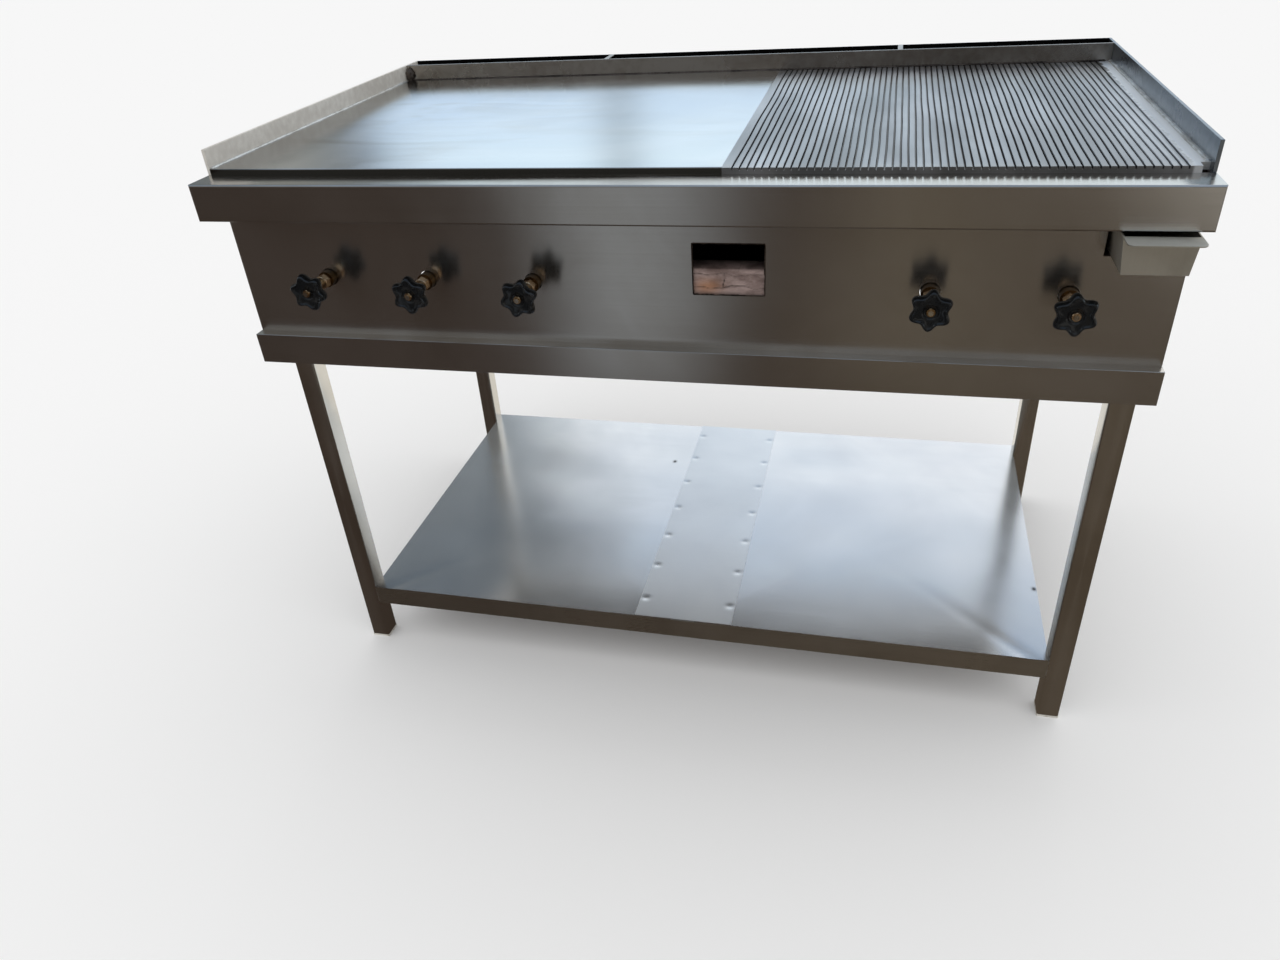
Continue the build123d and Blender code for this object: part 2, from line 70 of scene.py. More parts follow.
# ---------------------------------------------------------------- short ways to write shader nodes
class Graph:
    """The nodes of one material or of the world."""

    def __init__(self, owner):
        owner.use_nodes = True
        self.tree = owner.node_tree
        self.tree.nodes.clear()

    def node(self, kind, inputs=None, **settings):
        made = self.tree.nodes.new(kind)
        for key, value in settings.items():
            setattr(made, key, value)
        for key, value in (inputs or {}).items():
            if isinstance(value, bpy.types.NodeSocket):
                self.tree.links.new(value, made.inputs[key])
            else:
                made.inputs[key].default_value = value
        return made

    def place(self, scale=(1.0, 1.0, 1.0)):
        """Object coordinates, in metres, each times a scale."""
        coordinates = self.node("ShaderNodeTexCoord").outputs["Object"]
        stretched = self.node("ShaderNodeMapping", {"Vector": coordinates, "Scale": scale})
        return stretched.outputs["Vector"]

    def axes(self, vector):
        return self.node("ShaderNodeSeparateXYZ", {"Vector": vector}).outputs

    def math(self, operation, first, second=0.0, third=0.0):
        inputs = {0: first, 1: second, 2: third}
        return self.node("ShaderNodeMath", inputs, operation=operation).outputs[0]

    def noise(self, vector, scale, detail=3.0, roughness=0.5, distortion=0.0):
        inputs = {"Vector": vector, "Scale": scale, "Detail": detail, "Roughness": roughness,
                  "Distortion": distortion}
        return self.node("ShaderNodeTexNoise", inputs).outputs["Fac"]

    def band(self, value, low, high, start=0.0, end=1.0):
        """A smooth step from start to end as the value goes from low to high."""
        inputs = {"Value": value, "From Min": low, "From Max": high, "To Min": start, "To Max": end}
        return self.node("ShaderNodeMapRange", inputs, interpolation_type="SMOOTHSTEP").outputs["Result"]

    def hill(self, value, middle, half_width):
        """1 at the middle, falling smoothly to 0 at about twice the half width."""
        away = self.math("DIVIDE", self.math("SUBTRACT", value, middle), half_width)
        square = self.math("MULTIPLY", away, away)
        return self.math("POWER", math.e ** -0.7, square)

    def mix(self, factor, first, second):
        inputs = {0: factor, 6: rgba(first), 7: rgba(second)}
        return self.node("ShaderNodeMix", inputs, data_type="RGBA").outputs[2]

    def ramp(self, factor, stops):
        made = self.node("ShaderNodeValToRGB", {"Fac": factor})
        elements = made.color_ramp.elements
        elements[0].position, elements[0].color = stops[0][0], rgba(stops[0][1])
        elements[1].position, elements[1].color = stops[-1][0], rgba(stops[-1][1])
        for position, colour in stops[1:-1]:
            elements.new(position).color = rgba(colour)
        return made.outputs["Color"]

    def bump(self, height, strength, distance, normal=None):
        inputs = {"Height": height, "Strength": strength, "Distance": distance}
        if normal is not None:
            inputs["Normal"] = normal
        return self.node("ShaderNodeBump", inputs).outputs["Normal"]

    def surface(self, inputs):
        shader = self.node("ShaderNodeBsdfPrincipled", inputs)
        self.node("ShaderNodeOutputMaterial", {"Surface": shader.outputs["BSDF"]})

    def emission(self, colour, strength, output="ShaderNodeOutputMaterial"):
        shader = self.node("ShaderNodeEmission", {"Color": rgba(colour), "Strength": strength})
        self.node(output, {"Surface": shader.outputs["Emission"]})


def rgba(colour):
    return (*colour, 1.0) if isinstance(colour, tuple) and len(colour) == 3 else colour


def new_material(name):
    material = bpy.data.materials.new(name)
    return material, Graph(material)


# ---------------------------------------------------------------- materials
GRAIN_ALONG = 3.0       # brushing marks repeat this often per metre along the grain
GRAIN_ACROSS = 900.0    # and this often across it
TANGENT_AXIS = {"x": "Z", "y": "Z", "z": "Y", "flat": "Y"}


def grain_scale(grain):
    along = {"x": (1, 0, 0), "flat": (1, 0, 0), "y": (0, 1, 0), "z": (0, 0, 1)}[grain]
    return tuple(GRAIN_ALONG if axis else GRAIN_ACROSS for axis in along)


def brushed(name, light, dark, roughness, grain="x", anisotropy=0.75, smudge=3.5, marks=0.12,
            spots=(), soot_y=None):
    """Brushed stainless sheet: fine marks along the grain, smudges and faint stains.

    Spots are small burn marks at (x, y). Where y is under soot_y, the sheet is black with soot."""
    material, g = new_material(name)
    lines = g.noise(g.place(grain_scale(grain)), 1.0, detail=2.0)
    coarse = g.noise(g.place(tuple(s * 0.3 for s in grain_scale(grain))), 1.0, detail=2.0)
    smudges = g.noise(g.place(), smudge, detail=5.0, roughness=0.6, distortion=0.6)
    wiped = g.noise(g.place((1.0, 1.0, 0.35)), smudge * 2.6, detail=3.0)
    streak = g.math("MULTIPLY", g.math("SUBTRACT", coarse, 0.5), 0.3)
    tone = g.math("ADD", g.band(smudges, 0.3, 0.7), streak)
    colour = g.mix(g.node("ShaderNodeClamp", {"Value": tone}).outputs[0], dark, light)
    rough = g.math("MULTIPLY_ADD", g.math("SUBTRACT", wiped, 0.5), 0.12, roughness)
    rough = g.math("MULTIPLY_ADD", g.math("SUBTRACT", lines, 0.5), 0.08, rough)
    for x, y in spots:
        axis = g.axes(g.place())
        dot = g.math("MULTIPLY", g.hill(axis["X"], x, 3 * MM), g.hill(axis["Y"], y, 4 * MM))
        colour = g.mix(dot, colour, (0.02, 0.015, 0.01))
    if soot_y is not None:
        sooty = g.band(g.axes(g.place())["Y"], soot_y, soot_y - 0.2 * MM)
        colour = g.mix(sooty, colour, (0.012, 0.011, 0.010))
        rough = g.math("MULTIPLY_ADD", sooty, 0.5, rough)
    fine = g.bump(lines, marks, 0.01 * MM)
    waves = g.bump(g.noise(g.place(), 5.0, detail=0.0), 0.2, 1.0 * MM, fine)
    tangent = g.node("ShaderNodeTangent", direction_type="RADIAL", axis=TANGENT_AXIS[grain])
    g.surface({"Base Color": colour, "Metallic": 1.0, "Roughness": rough, "Anisotropic": anisotropy,
               "Anisotropic Rotation": 0.25, "Tangent": tangent.outputs["Tangent"], "Normal": waves})
    return material


def smooth_plate_steel(plate_top):
    """Ground steel cooking plate: cloudy, with long scratches and heat stains to the left and back."""
    material, g = new_material("smooth_plate_steel")
    axis = g.axes(g.place())
    clouds = g.noise(g.place(), 3.0, detail=6.0, roughness=0.62, distortion=0.8)
    fine = g.noise(g.place((2.0, 240.0, 1.0)), 1.0, detail=3.0)
    cross = g.noise(g.place((170.0, 3.0, 1.0)), 1.0, detail=2.0)
    stain = g.noise(g.place((1.6, 4.0, 1.0)), 2.2, detail=4.0, distortion=1.0)
    left = g.band(axis["X"], -0.10, -0.58)
    stained = g.math("MULTIPLY", g.band(stain, 0.45, 0.68), g.math("MULTIPLY_ADD", left, 0.75, 0.25))
    base = g.mix(g.band(clouds, 0.3, 0.7), (0.70, 0.71, 0.72), (0.82, 0.82, 0.82))
    colour = g.mix(g.math("MULTIPLY", stained, 0.45), base, (0.42, 0.36, 0.28))
    colour = g.mix(g.math("MULTIPLY", g.band(axis["X"], -0.47, -0.56), 0.85), colour, (0.17, 0.165, 0.15))
    edge = g.band(axis["Z"], plate_top - 1.0 * MM, plate_top - 1.6 * MM)
    colour = g.mix(edge, colour, (0.10, 0.098, 0.09))
    rough = g.math("MULTIPLY_ADD", g.math("SUBTRACT", clouds, 0.5), 0.18, 0.17)
    rough = g.math("MULTIPLY_ADD", g.math("SUBTRACT", fine, 0.5), 0.08, rough)
    scratches = g.bump(g.band(cross, 0.66, 0.72), 0.12, 0.03 * MM, g.bump(fine, 0.2, 0.02 * MM))
    g.surface({"Base Color": colour, "Metallic": 1.0, "Roughness": rough, "Normal": scratches})
    return material


def grooved_plate_steel(plate_top, right_edge, front):
    """Machined bars: bright worn tops, brown oxide in the grooves, a ground strip by the right guard."""
    material, g = new_material("grooved_plate_steel")
    axis = g.axes(g.place())
    worn = g.noise(g.place((60.0, 5.0, 60.0)), 1.0, detail=4.0)
    low = g.math("MULTIPLY_ADD", worn, 1.4 * MM, axis["Z"])
    height = g.band(low, plate_top - 2.6 * MM, plate_top - 0.1 * MM)
    front_face = g.band(axis["Y"], front + 0.8 * MM, front + 0.2 * MM)
    height = g.math("MAXIMUM", height, g.math("MULTIPLY", front_face, 0.8))
    patches = g.noise(g.place((9.0, 2.5, 9.0)), 1.0, detail=4.0)
    top = g.mix(g.band(patches, 0.35, 0.65), (0.27, 0.28, 0.29), (0.52, 0.53, 0.55))
    colour = g.mix(height, (0.055, 0.040, 0.028), top)
    ragged = g.math("MULTIPLY_ADD", g.noise(g.place((1.0, 80.0, 1.0)), 1.0, detail=4.0), 14 * MM, axis["X"])
    ground_strip = g.band(ragged, right_edge - 12 * MM, right_edge - 9 * MM)
    colour = g.mix(ground_strip, colour, (0.93, 0.93, 0.92))
    rough = g.math("MULTIPLY_ADD", worn, 0.22, 0.22)
    rough = g.math("MULTIPLY_ADD", ground_strip, 0.25, rough)
    marks = g.bump(worn, 0.3, 0.15 * MM)
    g.surface({"Base Color": colour, "Metallic": 1.0, "Roughness": rough, "Normal": marks})
    return material


def plain_metal(name, light, dark, roughness, scale=40.0, grit=0.25, depth=0.15, metallic=1.0):
    """Steel, iron or brass with mottled colour and a slightly uneven skin."""
    material, g = new_material(name)
    large = g.noise(g.place(), scale * 0.25, detail=5.0, roughness=0.6)
    small = g.noise(g.place(), scale * 6.0, detail=3.0)
    mottled = g.math("MULTIPLY_ADD", g.math("SUBTRACT", small, 0.5), 0.5, large)
    colour = g.mix(g.band(mottled, 0.32, 0.68), dark, light)
    rough = g.math("MULTIPLY_ADD", g.math("SUBTRACT", large, 0.5), 0.3, roughness)
    skin = g.bump(mottled, grit, depth * MM)
    g.surface({"Base Color": colour, "Metallic": metallic, "Roughness": rough, "Normal": skin})
    return material


def bakelite():
    """Moulded black handwheel: glossy, with a faint orange-peel skin and dusty patches."""
    material, g = new_material("black_bakelite")
    dust = g.noise(g.place(), 90.0, detail=4.0)
    peel = g.noise(g.place(), 700.0, detail=2.0)
    colour = g.mix(g.band(dust, 0.5, 0.8), (0.004, 0.005, 0.006), (0.015, 0.015, 0.015))
    rough = g.math("MULTIPLY_ADD", dust, 0.14, 0.06)
    g.surface({"Base Color": colour, "Roughness": rough, "Normal": g.bump(peel, 0.10, 0.05 * MM)})
    return material


def fire_clay():
    """Fired clay: mauve-brown, gritty, with painted shade making it near black in the cracks, scorched
    orange low down at the left.
    """
    material, g = new_material("fire_clay")
    axis = g.axes(g.place())
    crack = g.node("ShaderNodeAttribute", attribute_name="crack").outputs["Fac"]
    blotch = g.noise(g.place((1.0, 1.0, 2.4)), 26.0, detail=5.0, roughness=0.65)
    grit = g.noise(g.place(), 900.0, detail=3.0)
    base = g.mix(g.band(blotch, 0.32, 0.66), (0.13, 0.088, 0.078), (0.30, 0.225, 0.205))
    scorch = g.math("MULTIPLY", g.hill(axis["X"], 0.062, 0.014), g.hill(axis["Z"], 0.716, 0.008))
    colour = g.mix(g.math("MULTIPLY", scorch, 0.7), base, (0.30, 0.13, 0.05))
    # Painted shade: the crack attribute paints the cracks near black, as the shade inside them.
    colour = g.mix(crack, colour, (0.018, 0.012, 0.010))
    g.surface({"Base Color": colour, "Roughness": 0.92, "Normal": g.bump(grit, 0.5, 0.3 * MM)})
    return material


def pale_plastic():
    material, g = new_material("cap_plastic")
    scuff = g.noise(g.place(), 120.0, detail=4.0)
    colour = g.mix(g.band(scuff, 0.4, 0.75), (0.60, 0.58, 0.53), (0.38, 0.35, 0.30))
    g.surface({"Base Color": colour, "Roughness": g.math("MULTIPLY_ADD", scuff, 0.2, 0.4),
               "Normal": g.bump(scuff, 0.2, 0.2 * MM)})
    return material


# ---------------------------------------------------------------- mesh makers
def finish_piece(name, points, faces, body, slot, material, replaces=(), crease=32.0):
    """A mesh object in the row frame, with clean normals, that rides on a body."""
    mesh = bpy.data.meshes.new(name)
    mesh.from_pydata([tuple(p) for p in points], [], faces)
    work = bmesh.new()
    work.from_mesh(mesh)
    bmesh.ops.recalc_face_normals(work, faces=work.faces)
    work.to_mesh(mesh)
    work.free()
    mesh.shade_smooth()
    mesh.set_sharp_from_angle(angle=math.radians(crease))
    mesh.materials.append(material)
    piece = bpy.data.objects.new(name, mesh)
    bpy.context.scene.collection.objects.link(piece)
    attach(piece, body)
    if replaces:
        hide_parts(*replaces)
    return piece


def steps(low, high, count):
    return [low + (high - low) * i / count for i in range(count + 1)]


def slab(columns, rows, place, keep=lambda i, j: True):
    """A closed sheet over a grid. place(x, y, side) gives a corner on side 0 or 1; keep drops cells."""
    points, index, faces = [], {}, []

    def corner(i, j, side):
        key = (i, j, side)
        if key not in index:
            index[key] = len(points)
            points.append(place(columns[i], rows[j], side))
        return index[key]

    width, depth = len(columns) - 1, len(rows) - 1
    kept = {(i, j) for i in range(width) for j in range(depth) if keep(i, j)}
    for i, j in sorted(kept):
        around = ((i, j), (i + 1, j), (i + 1, j + 1), (i, j + 1))
        faces.append([corner(a, b, 1) for a, b in around])
        faces.append([corner(a, b, 0) for a, b in reversed(around)])
        beside = ((i, j - 1), (i + 1, j), (i, j + 1), (i - 1, j))
        for side, (start, end) in enumerate(zip(around, around[1:] + around[:1])):
            if beside[side] not in kept:
                faces.append([corner(*start, 0), corner(*end, 0), corner(*end, 1), corner(*start, 1)])
    return points, faces


def skin(rings, loop=False):
    """Faces between rings of points, with closed ends unless the rings make a loop."""
    count = len(rings[0])
    points = [p for ring in rings for p in ring]
    faces = []
    for r in range(len(rings) if loop else len(rings) - 1):
        a, b = r * count, (r + 1) % len(rings) * count
        for i in range(count):
            j = (i + 1) % count
            faces.append([a + i, a + j, b + j, b + i])
    if not loop:
        faces.append(list(range(count)))
        faces.append([(len(rings) - 1) * count + i for i in reversed(range(count))])
    return points, faces


def join(*meshes):
    points, faces = [], []
    for more_points, more_faces in meshes:
        start = len(points)
        points += more_points
        faces += [[start + i for i in face] for face in more_faces]
    return points, faces


def turned(centre, profile, count, radius_at=lambda radius, angle: radius, loop=True):
    """A piece turned about the Y axis. The profile lists (radius, y) pairs."""
    rings = []
    for radius, y in profile:
        ring = []
        for i in range(count):
            angle = 2 * math.pi * i / count
            r = radius_at(radius, angle)
            ring.append((centre.x + r * math.sin(angle), y, centre.z + r * math.cos(angle)))
        rings.append(ring)
    return skin(rings, loop)


def bead(start, end, radius, ripple, flat=1.0, pitch=4 * MM, seed=0.0):
    """A weld bead: a low ridge with overlapping ripples, along a straight line."""
    run = Vector(end) - Vector(start)
    along = run.normalized()
    side = along.cross(Vector((0, 0, 1))) if abs(along.z) < 0.9 else Vector((1, 0, 0))
    side.normalize()
    up = side.cross(along)
    count = max(6, int(run.length / (pitch / 3)))
    rings = []
    for s in range(count + 1):
        distance = run.length * s / count
        wave = abs(math.sin(math.pi * distance / pitch))
        wander = noise.noise(Vector((distance * 60, seed, 0)))
        thick = radius * (0.75 + ripple * wave + 0.35 * wander)
        if s in (0, count):
            thick *= 0.25
        middle = Vector(start) + along * distance + side * radius * 0.25 * wander
        ring = []
        for i in range(8):
            angle = 2 * math.pi * i / 8
            ring.append(middle + side * thick * math.cos(angle) + up * thick * flat * math.sin(angle))
        rings.append(ring)
    return skin(rings)


def centre_of(node):
    low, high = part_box(node)
    return (low + high) / 2


# ---------------------------------------------------------------- cooking plates
def smooth_plate(material):
    """The left plate, with the slight waves of a ground and heated sheet."""
    low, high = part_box("smooth_griddle_plate")

    def place(x, y, side):
        if side == 0:
            return (x, y, low.z)
        edge = min(x - low.x, high.x - x, y - low.y, high.y - y)
        inside = min(1.0, max(0.0, edge / (30 * MM)))
        wave = 0.5 + 0.5 * noise.noise(Vector((x * 4.2, y * 5.0, 3.1)))
        fine = 0.5 + 0.5 * noise.noise(Vector((x * 15, y * 11, 8.4)))
        rounded = 0.5 * MM if edge < 0.1 * MM else 0.0
        return (x, y, high.z - rounded - inside * (0.45 * wave + 0.05 * fine) * MM)

    columns = [low.x, *steps(low.x + 0.6 * MM, high.x - 0.6 * MM, 110), high.x]
    rows = [low.y, *steps(low.y + 0.6 * MM, high.y - 0.6 * MM, 90), high.y]
    points, faces = slab(columns, rows, place)
    finish_piece("ground_smooth_plate", points, faces, STAND, "plate_steel", material,
                 ["smooth_griddle_plate"])


GROOVES = 57
GROOVE_PITCH = 8.5 * MM
GROOVE_WIDTH = 2.0 * MM
GROOVE_DEPTH = 4.0 * MM
FIRST_GROOVE = 12.0 * MM
NOTCH = (10 * MM, 13 * MM)
BAR_EDGE = 0.7 * MM


def grooved_plate(material):
    """The right plate: bars with rounded shoulders that wander slightly, as cut by hand-fed passes."""
    low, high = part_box("grooved_griddle_plate")
    first = low.x + FIRST_GROOVE
    columns, drop, mark = [low.x], {low.x: 0.0}, {low.x: 0.0}

    def add(x, depth, groove):
        columns.append(x)
        drop[x] = depth
        mark[x] = groove

    half = GROOVE_WIDTH / 2
    for n in range(GROOVES):
        middle = first + n * GROOVE_PITCH
        add(middle - half - 1.7 * BAR_EDGE, 0.0, n)
        add(middle - half - 0.5 * BAR_EDGE, 0.25 * BAR_EDGE, n)
        add(middle - half, BAR_EDGE, n)
        add(middle - 0.75 * half, GROOVE_DEPTH, n)
        add(middle + 0.75 * half, GROOVE_DEPTH, n)
        add(middle + half, BAR_EDGE, n)
        add(middle + half + 0.5 * BAR_EDGE, 0.25 * BAR_EDGE, n)
        add(middle + half + 1.7 * BAR_EDGE, 0.0, n)
    notch_x = high.x - NOTCH[0]
    notch_y = low.y + NOTCH[1]
    add(notch_x, 0.0, GROOVES)
    add(high.x, 0.0, GROOVES)
    rows = sorted({low.y, notch_y, *steps(low.y, high.y, 44)})

    def place(x, y, side):
        groove = mark[x]
        still = x in (low.x, high.x, notch_x)
        wander = 0.0 if still else noise.noise(Vector((y * 7, groove * 0.31, 0))) * 1.1 * MM
        wander += 0.0 if still else noise.noise(Vector((y * 2.2, groove * 5.3, 7))) * 0.45 * MM
        if side == 0:
            return (x + wander, y, low.z)
        worn = (0.5 + 0.5 * noise.noise(Vector((y * 9, groove * 2.7, 4)))) * 0.35 * MM
        end = min(y - low.y, high.y - y)
        rounded = 0.6 * MM if end < 0.1 * MM and drop[x] < BAR_EDGE else 0.0
        return (x + wander, y, high.z - drop[x] - worn - rounded)

    def keep(i, j):
        return not (columns[i] >= notch_x - 1e-6 and rows[j + 1] <= notch_y + 1e-6)

    points, faces = slab(columns, rows, place, keep)
    finish_piece("barred_grooved_plate", points, faces, STAND, "plate_steel", material,
                 ["grooved_griddle_plate"], crease=40)


def plate_welds(bright, burnt):
    """Beads where the guards meet the plates, and the rough lump in the back left corner."""
    smooth_low, smooth_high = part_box("smooth_griddle_plate")
    grooved_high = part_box("grooved_griddle_plate")[1]
    top = smooth_high.z
    front, back = smooth_low.y + 2 * MM, smooth_high.y - 3 * MM
    left = bead((smooth_low.x + 1 * MM, front, top), (smooth_low.x + 1 * MM, back, top), 1.8 * MM, 0.35)
    finish_piece("left_guard_weld", *left, STAND, "guard_steel", bright)
    right_x = grooved_high.x - 1.5 * MM
    right = bead((right_x, front + NOTCH[1], top), (right_x, back, top), 3.4 * MM, 0.45, 0.5, 5 * MM, 4.0)
    finish_piece("right_guard_weld", *right, STAND, "guard_steel", bright)
    rear = bead((smooth_low.x + 8 * MM, back + 2 * MM, top), (grooved_high.x - 8 * MM, back + 2 * MM, top),
                1.5 * MM, 0.4, 1.0, 6 * MM, 9.0)
    finish_piece("back_guard_weld", *rear, STAND, "guard_steel", burnt)
    lump = weld_lump(Vector((smooth_low.x + 5 * MM, smooth_high.y - 4 * MM, top + 9 * MM)))
    finish_piece("corner_weld_lump", *lump, STAND, "guard_steel", burnt)


LUMP_SIZE = Vector((7, 7, 11)) * MM      # half its length, width and height
LUMP_ROWS, LUMP_COLUMNS = 14, 20


def weld_lump(centre):
    """A rough blob of weld metal."""
    rings = []
    for r in range(1, LUMP_ROWS):
        polar = math.pi * r / LUMP_ROWS
        ring = []
        for i in range(LUMP_COLUMNS):
            angle = 2 * math.pi * i / LUMP_COLUMNS
            across = math.sin(polar)
            out = Vector((across * math.cos(angle), across * math.sin(angle), math.cos(polar)))
            bulge = 1 + 0.35 * noise.noise(out * 2.3) + 0.2 * noise.noise(out * 6)
            ring.append(centre + out * LUMP_SIZE * bulge)
        rings.append(ring)
    return skin(rings)


# ---------------------------------------------------------------- handwheels and nuts
WHEEL_TURN = (-14.0, 0.0, 15.0, 4.0, -5.0)
WHEEL_LOBES = 6
WHEEL_RIM = 15.0         # the rim's thickness, in millimetres
WHEEL_VALLEY = 0.77      # valley radius as a share of the lobes' radius


def wheel_outline(turn):
    """The six-lobed outline. The recess follows the lobes a little, and the hub stays round."""
    def radius_at(radius, angle, outer):
        share = max(0.0, min(1.0, (radius / outer - 0.48) / 0.34))
        share = share * share * (3 - 2 * share)
        wave = 0.5 + 0.5 * math.cos(WHEEL_LOBES * (angle - turn))
        lobe = WHEEL_VALLEY + (1 - WHEEL_VALLEY) * wave ** 1.15
        return radius * (1 + share * (lobe - 1))
    return radius_at


def handwheel(number, material):
    """A moulded wheel. Its face is in millimetres, and its rim in shares of the outer radius."""
    node = f"handwheel_{number}"
    low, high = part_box(node)
    centre = (low + high) / 2
    outer = (high.z - low.z) / 2
    front, back = low.y, high.y
    rim_back = front + WHEEL_RIM * MM
    face = [(3.1, 4.0), (7.0, 4.0), (8.2, 3.6), (9.0, 2.6), (11.0, 2.2)]
    rim = [(0.66, 2.0), (0.74, 1.5), (0.79, 0.3), (0.82, 0.0), (0.86, 0.1), (0.91, 0.9), (0.955, 2.9),
           (0.99, 5.2), (1.0, 7.5), (0.99, 9.8), (0.955, 12.1), (0.91, 13.7), (0.82, 14.7),
           (0.70, WHEEL_RIM)]
    boss = [(12.0 * MM, rim_back), (10.6 * MM, rim_back + 0.6 * MM), (10.0 * MM, rim_back + 2 * MM),
            (9.8 * MM, back - 1 * MM), (9.0 * MM, back), (4.1 * MM, back), (3.1 * MM, back - 1 * MM)]
    profile = [(radius * MM, front + depth * MM) for radius, depth in face]
    profile += [(share * outer, front + depth * MM) for share, depth in rim]
    profile += boss
    outline = wheel_outline(math.radians(WHEEL_TURN[number - 1]))
    points, faces = turned(centre, profile, 144, lambda r, a: outline(r, a, outer))
    finish_piece(f"lobed_handwheel_{number}", points, faces, f"valve_{number}_spindle", "bakelite",
                 material, [node], crease=50)


def hex_radius(flats, angle, turn=0.0):
    within = (angle - turn) % (math.pi / 3) - math.pi / 6
    return flats / 2 / math.cos(within)


def hex_nut(centre, front, back, flats, bore, turn=0.0):
    """A hexagon with both ends chamfered to a cone, and a bore."""
    ends = []
    for share, away in ((0.94, 0.0), (0.99, 0.35), (1.06, 0.8), (1.20, 1.6)):
        ends.append((share * flats / 2, away * MM))
    profile = [(bore, front)]
    profile += [(radius, front + away) for radius, away in ends]
    profile += [(radius, back - away) for radius, away in reversed(ends)]
    profile += [(bore, back)]

    def radius_at(radius, angle):
        return radius if radius <= bore else min(radius, hex_radius(flats, angle, turn))

    return turned(centre, profile, 96, radius_at)


PACKING_NUT_TURN = (8.0, -6.0, 14.0, 3.0, -11.0)
PACKING_NUT_FLATS = 17.0 * MM
PACKING_NUT_BORE = 4.05 * MM
WHEEL_NUT_FLATS = 10.0 * MM
WHEEL_NUT_BORE = 3.05 * MM


def nuts(brass):
    stems = [centre_of(f"handwheel_{n}") for n in range(1, 6)]
    low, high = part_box("valve_packing_nuts")
    flats = min(high.z - low.z, PACKING_NUT_FLATS)
    meshes = []
    for centre, turn in zip(stems, PACKING_NUT_TURN):
        meshes.append(hex_nut(centre, low.y, high.y, flats, PACKING_NUT_BORE, math.radians(turn)))
    finish_piece("chamfered_packing_nuts", *join(*meshes), STAND, "brass", brass, ["valve_packing_nuts"])
    for n, centre in enumerate(stems, start=1):
        node = f"handwheel_nut_{n}"
        low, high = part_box(node)
        mesh = hex_nut(centre, low.y, high.y, WHEEL_NUT_FLATS, WHEEL_NUT_BORE, math.radians(13 * n))
        finish_piece(f"domed_wheel_nut_{n}", *mesh, f"valve_{n}_spindle", "brass", brass, [node])


THREAD_LENGTH = 22 * MM
THREAD_PITCH = 1.814 * MM
THREAD_DEPTH = 1.0 * MM
PIPE_WALL = 2.6 * MM


def inlet_thread(material):
    """The pipe with a real helical thread cut on its end."""
    low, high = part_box("inlet_pipe")
    centre = (low + high) / 2
    outer = (high.x - low.x) / 2
    bore = outer - PIPE_WALL
    thread_start = high.y - THREAD_LENGTH
    count = 48
    rings = []
    profile = [(bore, low.y), (outer, low.y), (outer, thread_start - 1 * MM)]
    profile += [(None, y) for y in steps(thread_start, high.y - 0.8 * MM, 96)]
    profile += [(outer - 1.4 * MM, high.y), (bore, high.y)]
    for radius, y in profile:
        ring = []
        for i in range(count):
            angle = 2 * math.pi * i / count
            turn = ((y - thread_start) / THREAD_PITCH - i / count) % 1.0
            r = radius if radius else outer - 0.2 * MM - THREAD_DEPTH * abs(2 * turn - 1)
            ring.append((centre.x + r * math.sin(angle), y, centre.z + r * math.cos(angle)))
        rings.append(ring)
    finish_piece("threaded_inlet_pipe", *skin(rings, loop=True), STAND, "pipe_steel", material,
                 ["inlet_pipe"], crease=25)


# ---------------------------------------------------------------- stand and shelf
def rounded_square(centre, half, corner, z):
    ring = []
    for quarter, (sx, sy) in enumerate(((1, 1), (-1, 1), (-1, -1), (1, -1))):
        for s in range(6):
            angle = math.pi / 2 * (quarter + s / 5)
            ring.append((centre.x + sx * (half - corner) + corner * math.cos(angle),
                         centre.y + sy * (half - corner) + corner * math.sin(angle), z))
    return ring


def legs(material):
    """Square tube legs with the rounded corners of rolled tube."""
    wall, corner = 1.5 * MM, 3.0 * MM
    for name in ("front_left_leg", "front_right_leg", "rear_left_leg", "rear_right_leg"):
        low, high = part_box(name)
        centre = (low + high) / 2
        half = (high.x - low.x) / 2
        heights = steps(low.z, high.z, 24)
        outer = [rounded_square(centre, half, corner, z) for z in heights]
        inner = [rounded_square(centre, half - wall, corner - wall, z) for z in reversed(heights)]
        finish_piece(f"rolled_tube_{name}", *skin(outer + inner, loop=True), STAND, "tube_stainless",
                     material, [name], crease=50)


def sheet_height(x, y, low, high, lift):
    """Height of the dented shelf above its flat place: soft waves, and a crease at its outer corner."""
    wave = noise.noise(Vector((x * 3.1 + lift, y * 4.3, 1.7)))
    ripple = noise.noise(Vector((x * 9.0, y * 8.0 + lift, 5.2)))
    buckle = noise.noise(Vector((x * 5.2 + lift, y * 6.0, 9.6)))
    edge = min(x - low.x, high.x - x, y - low.y, high.y - y)
    free = min(1.0, max(0.0, edge / (60 * MM)))
    open_part = min(1.0, max(0.0, edge / (170 * MM)))
    buckle *= 1.8 * open_part * open_part * (3 - 2 * open_part)
    across = abs(x - (low.x if low.x < -high.x else high.x))
    forward = y - low.y
    crease = math.exp(-((across - 1.1 * forward - 26 * MM) / (16 * MM)) ** 2)
    dip = 1.3 * crease * math.exp(-(across + forward) / (120 * MM))
    return free * (0.55 * wave + 0.28 * ripple) + buckle - dip


SPOT_WELDS = 7
SEAM_INSET = 9 * MM      # from the centre strip's edge to its row of welds
DIMPLE_RADIUS = 5 * MM
SHELF_SPOTS = ((0.559, -0.084), (-0.116, 0.233))    # burn marks left by welding


